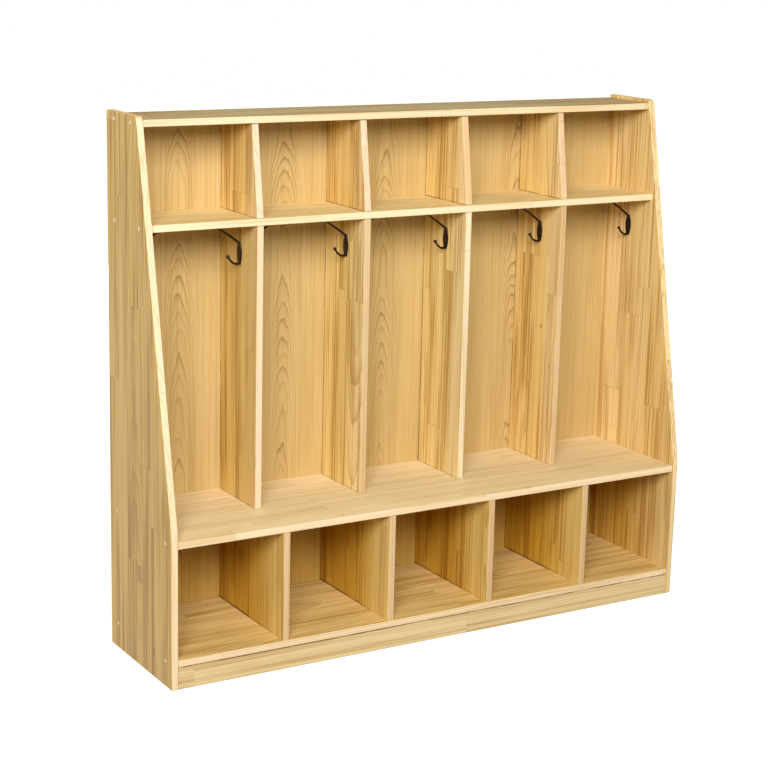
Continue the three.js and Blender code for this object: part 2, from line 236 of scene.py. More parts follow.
# How the pine's streaks come out of the fibre's noise, and how much less they and latewood show on pale wood
WARM_SHARE = 0.75
GROUP_NOISE = (0.36, 0.60)
GROUP_STRENGTH_SPREAD = (0.30, 0.95)
STREAK_NOISE = (0.41, 0.67)
BAND_NOISE = (0.40, 0.80)
BAND_STRENGTH = 0.25
PALE_STREAK_LOSS = 0.6
PALE_LATEWOOD_LOSS = 0.45
LATEWOOD_STRENGTH_SPREAD = (0.40, 0.60)

# How bright and how rough the pine is, with its fibre, its staves' tone and its latewood
PINE_SHADE = 0.94
PINE_FIBRE_SHADE = 0.20
PINE_TONE_SHADE = -0.08
PINE_ROUGHNESS_SPREAD = (0.36, 0.16)
LATEWOOD_POLISH = 0.06
PINE_RELIEF_SHARE = 0.5

# Where two boards meet, a dark line: partly the joint's real gap, partly painted shade in it, broken up in
# places by noise. Beside the dividers it fades out forwards between the two depths
JOINT_LINE_WIDTH = 0.003
FOOT_LINE_WIDTH = 0.006
JOINT_LINE_STRENGTHS = {"upper": 0.8, "middle": 0.35, "lower": 1.0, "kick": 0.7}
JOINT_FADE_DEPTHS = (-0.10, 0.02)
JOINT_CORE_SHARE = 0.3
JOINT_BREAK_SPREAD = (0.4, 0.6)
JOINT_BREAK_SCALE = 22.0
JOINT_BREAK_NOISE = (0.35, 0.55)
JOINT_GAP_SHADE_COLOUR = (0.16, 0.075, 0.018, 1)

# The back panel's veneer: where each leaf's pith line lies, how far its arches reach and how they stack
LEAF_CENTRES = [-0.518, -0.254, 0.016, 0.392]
LEAF_FIGURE_EDGES = (0.058, 0.029)
LEAF_PITH_DEPTH = 0.031
LEAF_LEAN = 0.043
LEAF_SWELL = 0.022
LEAF_THROUGH_SHARE = 0.2
LEAF_SEED_RATE = 31.0
VENEER_RING_WIDTH = 0.0025
VENEER_SHARPNESS = 4.6
VENEER_BUMP = 0.0001
VENEER_LIGHT = (0.61, 0.435, 0.175, 1)
VENEER_STREAK = (0.49, 0.330, 0.108, 1)
VENEER_LATEWOOD = (0.17, 0.072, 0.010, 1)
INNER_PLY = (0.36, 0.19, 0.07, 1)
PLY_THICKNESS = 0.0012
INNER_PLIES_REACH = 0.0018
INNER_PLY_STRENGTH = 0.45
PLY_EDGES = (0.45, 0.55)
FIGURE_SPREAD = (0.14, 0.86)
VENEER_STREAK_NOISE = (0.38, 0.70)
VENEER_STREAK_STRENGTH = 0.65
VENEER_BAND_NOISE = (0.35, 0.65)
VENEER_BAND_STRENGTH = 0.3
VENEER_SHADE_SPREAD = (0.90, 0.16)
VENEER_ROUGHNESS_SPREAD = (0.42, 0.14)
VENEER_RELIEF_SHARE = 0.4

# Painted shade deep in the shoe cubbies: darker, deeper colour, from nothing to full between the two depths
# and between the two heights. These lie inside the bench seat, so that none of it lies above the seat
CUBBY_SHADE_BOARD_TINT = (0.76, 0.62, 0.25, 1)
CUBBY_SHADE_VENEER_TINT = (0.97, 0.86, 0.50, 1)
CUBBY_SHADE_DEPTHS = (-0.14, 0.03)
CUBBY_SHADE_HEIGHTS = (0.334, 0.322)

# The dowels' end grain
DOWEL_PALE = (0.95, 0.83, 0.56, 1)
DOWEL_DEEP = (0.90, 0.74, 0.44, 1)
DOWEL_PORE = (0.50, 0.32, 0.13, 1)
DOWEL_CLOUD_SCALE = 160.0
DOWEL_CLOUD_NOISE = (0.3, 0.7)
DOWEL_PORE_SCALE = 1400.0
DOWEL_PORE_NOISE = (0.60, 0.72)
DOWEL_PORE_STRENGTH = 0.3
DOWEL_ROUGHNESS_SPREAD = (0.4, 0.2)
DOWEL_BUMP = 0.0001
DOWEL_CHAMFER = 0.00025
DOWEL_SIDES = 40

# Oil-rubbed bronze, rubbed more on the screws than on the hooks, and the zinc on the nails
BRONZE_DARK = (0.014, 0.005, 0.003, 1)
BRONZE_RUBBED = (0.080, 0.028, 0.012, 1)
BRONZE_CLOUD_SCALE = 90.0
BRONZE_GRIT_SCALE = 1500.0
BRONZE_RUB_NOISE = (0.45, 0.75)
BRONZE_METAL_SPREAD = (0.45, 0.4)
BRONZE_ROUGHNESS_SPREAD = (0.20, 0.10)
BRONZE_RELIEF_SHARE = 0.5
BRONZE_BUMP = 0.00006
HOOK_RUB_SHARE = 0.5
SCREW_RUB_SHARE = 0.9
ZINC_DULL = (0.50, 0.49, 0.46, 1)
ZINC_BRIGHT = (0.70, 0.69, 0.66, 1)
ZINC_CLOUD_SCALE = 900.0
ZINC_ROUGHNESS_SPREAD = (0.3, 0.2)

# Clear coats: their weight, their roughness and how much the surface under them mirrors. The top panel is
# dull, so that it doesn't turn white against the key light
PINE_COAT = (0.05, 0.2, 0.25)
TOP_PANEL_COAT = (0.0, 0.2, 0.01)
VENEER_COAT = (0.03, 0.28, 0.25)
DOWEL_COAT = (0.25, 0.25, 0.5)
BRONZE_COAT = (0.15, 0.10, 0.2)

# The coat hooks, in the model's sizes. Here their bars also taper from the root on, in shares of their radius
PLATE_HEIGHT = 0.050
PLATE_WIDTH = 0.0195
PLATE_END_WIDTH = 0.008
PLATE_THICKNESS = 0.0032
PLATE_EASE = 0.0008
PLATE_STEPS = 24
BAR_RADIUS = 0.0027
BAR_ROOT_SHARE = 1.12
BAR_TAPER_SHARE = 0.24
BAR_STEPS = 10
BAR_SIDES = 20
UPPER_REACH = 0.058
UPPER_RISE = 0.039
UPPER_BALL_RADIUS = 0.0048
LOWER_REACH = 0.030
LOWER_RISE = 0.016
LOWER_BALL_RADIUS = 0.0042
UPPER_SHARES = [(0, 0), (0.06, 0.08), (0.5, 0.53), (1, 1)]
LOWER_SHARES = [(0, 0), (0.2, -0.05), (0.45, 0), (0.75, 0.4), (1, 1)]
CASTING_VOXEL = 0.0005
SMOOTHING_ROUNDS = 3

# How far the screws' tips stand behind the plate's back in a hook's box
PLATE_SINK = 0.0068

# The screws' oval heads
SCREW_OFFSET = 0.0142
SCREW_HEAD_RADIUS = 0.0038
SCREW_CROWN = 0.0009
SCREW_NECK_SHARE = 0.5
SCREW_SIDES = 32
CROWN_SHARES = [0.25, 0.5, 0.7, 0.85, 0.95]
RECESS_WIDTH = 0.0009
RECESS_LENGTH = 0.0040
RECESS_DEPTH = 0.0012
RECESS_TURN = math.pi / 5

# The nails that hold the back panel
NAIL_SPACING = 0.115
NAIL_HEAD_RADIUS = 0.0016
NAIL_HEAD_HEIGHT = 0.0004
NAIL_HEAD_TOP_SHARE = 0.7
NAIL_SIDES = 12
NAIL_EDGE_DISTANCE = 0.004
NAIL_FOOT_DISTANCE = 0.008

# The studio: a floor that glows white, a little less near the unit than far off, and the light of the room
WHITE = (1, 1, 1, 1)
FLOOR_HALF_SIZE = 12
FLOOR_GAP = 0.0004
FLOOR_COLOUR = (0.45, 0.45, 0.45, 1)
FLOOR_GLOW = 0.82
FLOOR_FADE = (1.2, 3.0)
ROOM_LIGHT = 0.21
ROOM_COLOUR = (1.0, 0.78, 0.08, 1)

# The softboxes: place, what they face, width, height, power in watts and colour. The key is feathered: it
# faces past the unit's top, so that its light falls off towards the floor
SOFTBOXES = [
    ("key_softbox", (-2.5, -4.35, 3.42), (0.0, 0.0, 4.4), 3.0, 2.6, 569, (0.90, 0.90, 1.0)),
    ("right_softbox", (4.4, -0.2, 0.85), (0.0, 0.0, 0.6), 2.4, 0.6, 85, (1.0, 1.0, 1.0)),
    ("back_softbox", (1.0, 4.8, 0.85), (0.0, 0.0, 0.6), 2.4, 0.6, 230, (1.0, 1.0, 1.0)),
]


class Signal:
    """A number that changes over a surface. Sums and products of signals become math nodes of their tree."""

    def __init__(self, tree, socket):
        self.tree = tree
        self.socket = socket

    def maths(self, operation, *others):
        node = self.tree.nodes.new("ShaderNodeMath")
        node.operation = operation
        for socket, value in zip(node.inputs, (self, *others)):
            feed(self.tree, socket, value)
        return Signal(self.tree, node.outputs["Value"])

    def __add__(self, other):
        return self.maths("ADD", other)

    def __sub__(self, other):
        return self.maths("SUBTRACT", other)

    def __mul__(self, other):
        return self.maths("MULTIPLY", other)

    def __truediv__(self, other):
        return self.maths("DIVIDE", other)

    def floor(self):
        return self.maths("FLOOR")

    def fraction(self):
        return self.maths("FRACT")

    def sine(self):
        return self.maths("SINE")

    def size(self):
        return self.maths("ABSOLUTE")

    def zigzag(self, reach):
        return self.maths("PINGPONG", reach)

    def below(self, limit):
        return self.maths("LESS_THAN", limit)

    def distance(self, other):
        """The length of the hypotenuse over this signal and the other"""
        return (self * self + other * other).maths("SQRT")

    def spread(self, least, added):
        """The least value where this signal is 0, with all that is added to it where the signal is 1"""
        return self * added + least

    def rise(self, start, end):
        """0 at start and 1 at end, with a smooth climb between them"""
        inputs = {"Value": self, "From Min": start, "From Max": end}
        node = place_node(self.tree, "ShaderNodeMapRange", inputs, interpolation_type="SMOOTHSTEP")
        return Signal(self.tree, node.outputs["Result"])


def feed(tree, socket, value):
    """Links a signal or a socket to a node's input, or writes a plain value there"""
    if isinstance(value, Signal):
        tree.links.new(value.socket, socket)
    elif isinstance(value, bpy.types.NodeSocket):
        tree.links.new(value, socket)
    else:
        socket.default_value = value


def place_node(tree, kind, inputs, **settings):
    """A new node with its settings made and its named inputs fed"""
    node = tree.nodes.new(kind)
    for name, value in settings.items():
        setattr(node, name, value)
    for name, value in inputs.items():
        feed(tree, node.inputs[name], value)
    return node


def vector(tree, x, y, z):
    return place_node(tree, "ShaderNodeCombineXYZ", {"X": x, "Y": y, "Z": z}).outputs["Vector"]


def three_signals(tree, kind, source):
    """The three numbers in a vector or a colour"""
    node = tree.nodes.new(kind)
    tree.links.new(source, node.inputs[0])
    return [Signal(tree, output) for output in node.outputs]


def noise(tree, place, scale=1.0, detail=2.0, roughness=0.5):
    inputs = {"Vector": place, "Scale": scale, "Detail": detail, "Roughness": roughness}
    return Signal(tree, place_node(tree, "ShaderNodeTexNoise", inputs).outputs[0])


def chance(tree, x, y, z):
    """Three numbers between 0 and 1 that differ from cell to cell"""
    node = place_node(tree, "ShaderNodeTexWhiteNoise", {"Vector": vector(tree, x, y, z)})
    return three_signals(tree, "ShaderNodeSeparateColor", node.outputs["Color"])


def unit_place(tree):
    """The place of a point on the unit, in metres"""
    return tree.nodes.new("ShaderNodeTexCoord").outputs["Object"]


def unit_axes(tree):
    """X, Y and Z of a point on the unit, in metres"""
    return three_signals(tree, "ShaderNodeSeparateXYZ", unit_place(tree))


def face_direction(tree):
    """X, Y and Z of the direction that a face looks in"""
    direction = tree.nodes.new("ShaderNodeTexCoord").outputs["Normal"]
    return three_signals(tree, "ShaderNodeSeparateXYZ", direction)


def mix_colours(tree, share, first, second, blend_type="MIX"):
    node = place_node(tree, "ShaderNodeMix", {}, data_type="RGBA", blend_type=blend_type)
    colours = [socket for socket in node.inputs if socket.type == "RGBA"]
    feed(tree, node.inputs["Factor"], share)
    feed(tree, colours[0], first)
    feed(tree, colours[1], second)
    return next(socket for socket in node.outputs if socket.type == "RGBA")


def tint_colour(tree, colour, tint, share=1.0):
    """The colour times the tint, as far as the share says"""
    return mix_colours(tree, share, colour, tint, "MULTIPLY")


def begin_group(name, inputs, outputs):
    """A shader node group with number inputs and outputs, its tree, its input signals and its output node"""
    tree = bpy.data.node_groups.new(name, "ShaderNodeTree")
    for socket_name in inputs:
        tree.interface.new_socket(name=socket_name, in_out="INPUT", socket_type="NodeSocketFloat")
    for socket_name in outputs:
        tree.interface.new_socket(name=socket_name, in_out="OUTPUT", socket_type="NodeSocketFloat")
    entry = tree.nodes.new("NodeGroupInput")
    signals = {socket_name: Signal(tree, entry.outputs[socket_name]) for socket_name in inputs}
    return tree, signals, tree.nodes.new("NodeGroupOutput")


def use_group(tree, group, inputs):
    node = place_node(tree, "ShaderNodeGroup", {}, node_tree=group)
    for name, value in inputs.items():
        feed(tree, node.inputs[name], value)
    return {output.name: Signal(tree, output) for output in node.outputs}


def build_growth_rings():
    """Latewood bands round a pith that lies beside a board, wanders and leans along it"""
    names = ["Along", "Across", "Through", "Pith Across", "Pith Depth", "Ring Width"]
    names += ["Lean", "Swell", "Sharpness", "Seed"]
    tree, given, result = begin_group("growth_rings", names, ["Latewood"])
    along, across, through, seed = (given[name] for name in ("Along", "Across", "Through", "Seed"))
    wander_place = vector(tree, along * PITH_WANDER_RATE, seed, seed * WANDER_SEED_RATE)
    wander = noise(tree, wander_place, detail=1.5) - 0.5
    swell_place = vector(tree, along * PITH_SWELL_RATE, seed * SWELL_SEED_RATE, seed + SWELL_SEED_START)
    swell = noise(tree, swell_place, detail=1.0) - 0.5
    ripple_through = through * RIPPLE_RATE_ACROSS + seed
    ripple_place = vector(tree, along * RIPPLE_RATE_ALONG, across * RIPPLE_RATE_ACROSS, ripple_through)
    ripple = noise(tree, ripple_place, detail=2.5) - 0.5
    sideways = across - given["Pith Across"] - wander * PITH_WANDER
    depth = through + given["Pith Depth"] + given["Lean"] * along + swell * given["Swell"]
    radius = sideways.distance(depth) + ripple * RIPPLE
    rings = radius / given["Ring Width"] + FIRST_RING
    phase = rings.fraction()
    band = phase.maths("POWER", given["Sharpness"]) * phase.rise(1.0, LATEWOOD_END)
    strength = chance(tree, rings.floor(), seed, RING_DRAW)[0].spread(*RING_STRENGTH_SPREAD)
    feed(tree, result.inputs["Latewood"], band * strength)
    return tree


def build_wood_fibre():
    """Broad bands, long soft streaks and short fine fibres along the grain"""
    results = [kind[0] for kind in FIBRE_KINDS]
    tree, given, result = begin_group("wood_fibre", ["Along", "Across", "Through", "Seed"], results)
    for name, along_rate, across_rate, detail, roughness in FIBRE_KINDS:
        along = given["Along"] * along_rate + given["Seed"]
        place = vector(tree, along, given["Across"] * across_rate, given["Through"] * across_rate)
        feed(tree, result.inputs[name], noise(tree, place, detail=detail, roughness=roughness))
    return tree


def knot_in_block(draws, across_stave, up_block, width, length):
    """A block's knot, and how far it bends the grain beside it"""
    size, up, side = draws
    beside = across_stave - (side - 0.5) * width * KNOT_SIDE_SHARE
    above = up_block - up * KNOT_HEIGHT_SHARE - KNOT_LOWEST_SHARE
    distance = (above * length * KNOT_LENGTH_SHARE).distance(beside)
    radius = size.rise(*KNOT_CHANCES) * KNOT_RADIUS
    knot = (distance - radius).rise(KNOT_EDGE, -KNOT_EDGE) * radius.rise(*KNOT_SHOWS)
    bend = distance.rise(*BEND_REACH) * radius.rise(*BEND_SHOWS)
    return knot, beside * bend * BEND_STRENGTH


def build_glued_staves():
    """Cuts a board into staves and finger-jointed blocks, each with its own tone and place in its log"""
    names = ["Along", "Across", "Through", "Stave Width", "Block Length", "Seed"]
    results = ["Tone", "Warmth", "Pith Across", "Pith Depth", "Ring Scale", "Lean", "Block", "Seam"]
    results += ["Knot", "Bend"]
    tree, given, result = begin_group("glued_staves", names, results)
    along, across, through, seed = (given[name] for name in ("Along", "Across", "Through", "Seed"))
    width, length = given["Stave Width"], given["Block Length"]
    staves = across / width + seed * STAVE_START_RATE
    staves = staves + (staves * STAVE_STRAY_RATE).sine() * STAVE_STRAY_SHARE
    stave = staves.floor()
    stave_chance = chance(tree, stave, seed, STAVE_DRAW)
    fingers = (through / FINGER_PITCH).zigzag(0.5) * FINGER_LENGTH
    blocks = (along + fingers) / length + stave_chance[0] * BLOCK_START_REACH
    blocks = blocks + (blocks * BLOCK_STRAY_RATE + stave).sine() * BLOCK_STRAY_SHARE
    block = blocks.floor()
    block_tone, block_warmth, pith = chance(tree, stave, block, seed)
    tone = stave_chance[1] * STAVE_TONE_SHARE + block_tone * (1 - STAVE_TONE_SHARE)
    warmth = stave_chance[2] * STAVE_WARMTH_SHARE + block_warmth * (1 - STAVE_WARMTH_SHARE)
    depth, scale, lean = chance(tree, block, seed, stave + LOG_DRAW)
    across_stave = (staves.fraction() - 0.5) * width
    knot_draws = chance(tree, seed, stave + KNOT_DRAW, block)
    knot, bend = knot_in_block(knot_draws, across_stave, blocks.fraction(), width, length)
    side_seam = (staves.fraction() - 0.5).size().rise(*SIDE_SEAM_SHARES)
    end_seam = (blocks.fraction() - 0.5).size().rise(*END_SEAM_SHARES)
    outputs = {
        "Tone": tone,
        "Warmth": warmth,
        "Pith Across": across - across_stave + (pith - 0.5) * PITH_SIDEWAYS,
        "Pith Depth": depth.spread(*PITH_DEPTH_SPREAD),
        "Ring Scale": scale.spread(*RING_SCALE_SPREAD),
        "Lean": (lean - 0.5) * BLOCK_LEAN,
        "Block": stave * STAVE_SEED_STEP + block * BLOCK_SEED_STEP + seed,
        "Seam": side_seam.maths("MAXIMUM", end_seam),
        "Knot": knot,
        "Bend": bend,
    }
    for name, value in outputs.items():
        feed(tree, result.inputs[name], value)
    return tree


def front_edge(backwards):
    """1 on faces that look out of the unit's front, 0 on all others"""
    return (backwards * -1.0).rise(*FRONT_EDGE_TURNS)


def cubby_shade_mask(depth, height):
    """1 deep in the shoe cubbies, 0 at their front and above the bench: the share of painted shade there"""
    return depth.rise(*CUBBY_SHADE_DEPTHS) * height.rise(*CUBBY_SHADE_HEIGHTS)


def joint_line(distance, width, strength):
    """A soft-edged line of painted gap shade along the plane in which two boards meet"""
    return distance.size().rise(width, width * JOINT_CORE_SHARE) * strength


def joint_line_breaks(x, y, z):
    """Less than 1 in places where noise breaks the joints' painted shade lines up"""
    breaks = noise(x.tree, vector(x.tree, x, y, z), scale=JOINT_BREAK_SCALE, detail=1.0)
    return breaks.rise(*JOINT_BREAK_NOISE).spread(*JOINT_BREAK_SPREAD)


def build_mask(formula, inputs):
    """A node group that puts out one mask, which the formula makes from its inputs"""
    tree, given, result = begin_group(formula.__name__, inputs, ["Mask"])
    feed(tree, result.inputs["Mask"], formula(*given.values()))
    return tree


GROWTH_RINGS = build_growth_rings()
WOOD_FIBRE = build_wood_fibre()
GLUED_STAVES = build_glued_staves()
FRONT_EDGE = build_mask(front_edge, ["Backwards"])
CUBBY_SHADE_MASK = build_mask(cubby_shade_mask, ["Depth", "Height"])
JOINT_LINE = build_mask(joint_line, ["Distance", "Width", "Strength"])
JOINT_LINE_BREAKS = build_mask(joint_line_breaks, ["X", "Y", "Z"])


def begin_material(name):
    """A new material, its node tree and its Principled shader"""
    material = bpy.data.materials.new(name)
    material.use_nodes = True
    tree = material.node_tree
    shader = next(node for node in tree.nodes if node.type == "BSDF_PRINCIPLED")
    return material, tree, shader


def grain_place(tree, along, across, centre):
    """A point's distances from the centre along the grain, across it and through the board"""
    turn = Matrix((along, across, along.cross(across)))
    inputs = {
        "Vector": unit_place(tree),
        "Rotation": turn.to_euler(),
        "Location": -(turn @ centre),
    }
    mapping = place_node(tree, "ShaderNodeMapping", inputs, vector_type="POINT")
    return three_signals(tree, "ShaderNodeSeparateXYZ", mapping.outputs["Vector"])


def feed_shader(tree, shader, colour, roughness, height, relief):
    """Gives a shader its colour, its roughness and a relief as deep as given in metres"""
    feed(tree, shader.inputs["Base Color"], colour)
    feed(tree, shader.inputs["Roughness"], roughness)
    bump = place_node(tree, "ShaderNodeBump", {"Height": height, "Distance": relief})
    feed(tree, shader.inputs["Normal"], bump.outputs["Normal"])


def lacquer(shader, weight, roughness, mirroring):
    """A clear coat over a surface that mirrors as much as given"""
    shader.inputs["Coat Weight"].default_value = weight
    shader.inputs["Coat Roughness"].default_value = roughness
    shader.inputs["Specular IOR Level"].default_value = mirroring


def facing_front(tree):
    return use_group(tree, FRONT_EDGE, {"Backwards": face_direction(tree)[DEPTH_AXIS]})["Mask"]


def joint_lines(tree, joints):
    """Lines of painted shade where a board meets others, given as (axis, place, width, strength) of their
    planes
    """
    axes = unit_axes(tree)
    lines = axes[BAYS_AXIS] * 0.0
    for axis, where, width, strength in joints:
        inputs = {"Distance": axes[axis] - where, "Width": width, "Strength": strength}
        lines = lines.maths("MAXIMUM", use_group(tree, JOINT_LINE, inputs)["Mask"])
    return lines * use_group(tree, JOINT_LINE_BREAKS, dict(zip("XYZ", axes)))["Mask"]


# The share of painted shade deep in the shoe cubbies, at each point of a surface
def deep_in_cubbies(tree):
    axes = unit_axes(tree)
    return use_group(tree, CUBBY_SHADE_MASK, {"Depth": axes[DEPTH_AXIS], "Height": axes[HEIGHT_AXIS]})["Mask"]


def facing_inwards(tree):
    """1 on the side panels' inner faces, 0 on their outer ones"""
    return (unit_axes(tree)[BAYS_AXIS] * face_direction(tree)[BAYS_AXIS]).below(0.0)


def tint_of(name, tints):
    """A board's own tint, or that of its level's dividers, or none"""
    return tints.get(name, tints.get(name.rstrip("_1234"), PLAIN_TINT))


def pine_paleness(name, across, warmth, front):
    """How much pale wood shows: on some boards, in sapwood, and on front edges, partly sanded, partly painted
    light
    """
    paleness = PALENESS.get(name, 0.0)
    sapwood_and_light = warmth.rise(*SAPWOOD_WARMTHS) * SAPWOOD_SHARE
    # On the dividers the pale share grows towards the front: partly sapwood, partly painted light
    if name in DIVIDERS:
        low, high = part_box(name)
        depth = across / (low.y - high.y)
        sapwood_and_light = sapwood_and_light + depth.rise(*FRONT_SAPWOOD_AND_LIGHT_DEPTHS) * FRONT_SAPWOOD_AND_LIGHT_SHARE
    # Faces that look to the front are paler: partly from sanding, partly painted light
    pale = front.spread(paleness, SANDED_AND_LIT_SHARES.get(name, SANDED_AND_LIT_SHARE) - paleness)
    return pale + sapwood_and_light - pale * sapwood_and_light


def pine_colour(tree, staves, fibre, latewood, pale):
    """The streaked early wood with its latewood bands, before a board's own tint"""
    earlywood = mix_colours(tree, staves["Warmth"] * WARM_SHARE, PINE_LIGHT, PINE_WARM)
    earlywood = mix_colours(tree, pale, earlywood, PALE_AND_LIT_WOOD)
    streak_colour = mix_colours(tree, pale, PINE_STREAK, PALE_AND_LIT_STREAK)
    grouped = fibre["Band"].rise(*GROUP_NOISE).spread(*GROUP_STRENGTH_SPREAD)
    streaks = fibre["Streak"].rise(*STREAK_NOISE) * grouped + fibre["Band"].rise(*BAND_NOISE) * BAND_STRENGTH
    streaks = streaks * pale.spread(1.0, -PALE_STREAK_LOSS)
    earlywood = mix_colours(tree, streaks, earlywood, streak_colour)
    darkness = (staves["Tone"] * staves["Tone"]).spread(*LATEWOOD_STRENGTH_SPREAD)
    bands = latewood * darkness * pale.spread(1.0, -PALE_LATEWOOD_LOSS)
    banded = mix_colours(tree, bands, earlywood, PINE_LATEWOOD)
    shade = staves["Tone"] * PINE_TONE_SHADE + fibre["Fibre"] * PINE_FIBRE_SHADE + PINE_SHADE
    return tint_colour(tree, banded, vector(tree, shade, shade, shade))


def tint_pine(tree, name, colour, front):
    """A board's colour under its tints: on its faces, painted shade deep in the shoe cubbies, and on its
    front edge
    """
    faces = tint_colour(tree, colour, tint_of(name, FACE_TINTS_AND_PAINTED_LIGHT))
    # Painted shade deep in the shoe cubbies, on the lower dividers and on the side panels' inner faces
    if name.startswith("lower_divider"):
        faces = tint_colour(tree, faces, CUBBY_SHADE_BOARD_TINT, deep_in_cubbies(tree))
    if name in SIDE_PANELS:
        cubby_shade = deep_in_cubbies(tree) * facing_inwards(tree)
        faces = tint_colour(tree, faces, CUBBY_SHADE_BOARD_TINT, cubby_shade)
    edge = tint_colour(tree, colour, tint_of(name, EDGE_TINTS))
    return mix_colours(tree, front, faces, edge)


def glued_pine(name, along_axis, across_axis, centre, seed, joints):
    """Edge-glued, finger-jointed pine under satin lacquer, paler on front edges, partly sanded, partly
    painted light
    """
    material, tree, shader = begin_material("glued_pine_" + name)
    along, across, through = grain_place(tree, along_axis, across_axis, centre)
    place = {"Along": along, "Across": across, "Through": through, "Seed": seed}
    width = KICK_STAVE_WIDTH if name == KICK_BOARD else STAVE_WIDTH
    staves = use_group(tree, GLUED_STAVES, place | {"Stave Width": width, "Block Length": BLOCK_LENGTH})
    log = {
        "Across": across - staves["Bend"],
        "Pith Across": staves["Pith Across"],
        "Pith Depth": staves["Pith Depth"],
        "Ring Width": staves["Ring Scale"] * PINE_RING_WIDTH,
        "Lean": staves["Lean"],
        "Swell": PINE_SWELL,
        "Sharpness": PINE_SHARPNESS,
        "Seed": staves["Block"],
    }
    latewood = use_group(tree, GROWTH_RINGS, place | log)["Latewood"]
    fibre = use_group(tree, WOOD_FIBRE, place | {"Seed": staves["Block"]})
    front = facing_front(tree)
    pale = pine_paleness(name, across, staves["Warmth"], front)
    colour = pine_colour(tree, staves, fibre, latewood, pale)
    colour = tint_pine(tree, name, colour, front)
    colour = mix_colours(tree, staves["Seam"] * SEAM_STRENGTH, colour, PINE_SEAM)
    knot = staves["Knot"] * front.spread(1.0, -1.0) * KNOT_STRENGTH
    colour = mix_colours(tree, knot, colour, PINE_KNOT)
    # Painted shade in the joints' gaps, fading out forwards beside the dividers
    if joints:
        lines = joint_lines(tree, joints)
        if name in DIVIDERS:
            lines = lines * unit_axes(tree)[DEPTH_AXIS].rise(*JOINT_FADE_DEPTHS)
        colour = mix_colours(tree, lines, colour, JOINT_GAP_SHADE_COLOUR)
    roughness = fibre["Fibre"].spread(*PINE_ROUGHNESS_SPREAD) - latewood * LATEWOOD_POLISH
    relief = latewood * PINE_RELIEF_SHARE + fibre["Fibre"] * (1 - PINE_RELIEF_SHARE)
    feed_shader(tree, shader, colour, roughness, relief, PINE_BUMP)
    lacquer(shader, *(TOP_PANEL_COAT if name == TOP_PANEL else PINE_COAT))
    return material


def veneered_ply(centre):
    """Plywood under a flat-sawn pine veneer whose leaves each show one column of arches"""
    material, tree, shader = begin_material("veneered_ply")
    along, across, through = grain_place(tree, UPWARDS, ACROSS_THE_BAYS, centre)
    pith = across * 0.0 + LEAF_CENTRES[0]
    for before, after in zip(LEAF_CENTRES, LEAF_CENTRES[1:]):
        pith = pith + across.maths("GREATER_THAN", (before + after) / 2) * (after - before)
    figure = (across - pith).size().rise(*LEAF_FIGURE_EDGES)
    place = {"Along": along, "Across": across, "Through": through * LEAF_THROUGH_SHARE}
    place["Seed"] = pith * LEAF_SEED_RATE
    log = {
        "Pith Across": pith,
        "Pith Depth": LEAF_PITH_DEPTH,
        "Ring Width": VENEER_RING_WIDTH,
        "Lean": LEAF_LEAN,
        "Swell": LEAF_SWELL,
        "Sharpness": VENEER_SHARPNESS,
    }
    latewood = use_group(tree, GROWTH_RINGS, place | log)["Latewood"]
    fibre = use_group(tree, WOOD_FIBRE, place)
    streaks = fibre["Streak"].rise(*VENEER_STREAK_NOISE) * VENEER_STREAK_STRENGTH
    streaks = streaks + fibre["Band"].rise(*VENEER_BAND_NOISE) * VENEER_BAND_STRENGTH
    earlywood = mix_colours(tree, streaks, VENEER_LIGHT, VENEER_STREAK)
    colour = mix_colours(tree, latewood * figure.spread(*FIGURE_SPREAD), earlywood, VENEER_LATEWOOD)
    shade = fibre["Fibre"].spread(*VENEER_SHADE_SPREAD)
    colour = tint_colour(tree, colour, vector(tree, shade, shade, shade))
    # Painted shade on the back panel deep in the shoe cubbies
    cubby_shade = deep_in_cubbies(tree) * facing_front(tree)
    colour = tint_colour(tree, colour, CUBBY_SHADE_VENEER_TINT, cubby_shade)
    inner_plies = (through.size() - INNER_PLIES_REACH).below(0.0)
    crossed_plies = (through / PLY_THICKNESS).zigzag(1.0).rise(*PLY_EDGES) * inner_plies
    colour = mix_colours(tree, crossed_plies * INNER_PLY_STRENGTH, colour, INNER_PLY)
    roughness = fibre["Fibre"].spread(*VENEER_ROUGHNESS_SPREAD)
    relief = latewood * VENEER_RELIEF_SHARE + fibre["Fibre"] * (1 - VENEER_RELIEF_SHARE)
    feed_shader(tree, shader, colour, roughness, relief, VENEER_BUMP)
    lacquer(shader, *VENEER_COAT)
    return material


def dowel_end_grain():
    """Pale hardwood with fine pores and a soft cloud of deeper wood across the pin"""
    material, tree, shader = begin_material("dowel_end_grain")
    pores = noise(tree, unit_place(tree), scale=DOWEL_PORE_SCALE)
    cloud = noise(tree, unit_place(tree), scale=DOWEL_CLOUD_SCALE)
    wood = mix_colours(tree, cloud.rise(*DOWEL_CLOUD_NOISE), DOWEL_PALE, DOWEL_DEEP)
    colour = mix_colours(tree, pores.rise(*DOWEL_PORE_NOISE) * DOWEL_PORE_STRENGTH, wood, DOWEL_PORE)
    feed_shader(tree, shader, colour, pores.spread(*DOWEL_ROUGHNESS_SPREAD), pores, DOWEL_BUMP)
    lacquer(shader, *DOWEL_COAT)
    return material


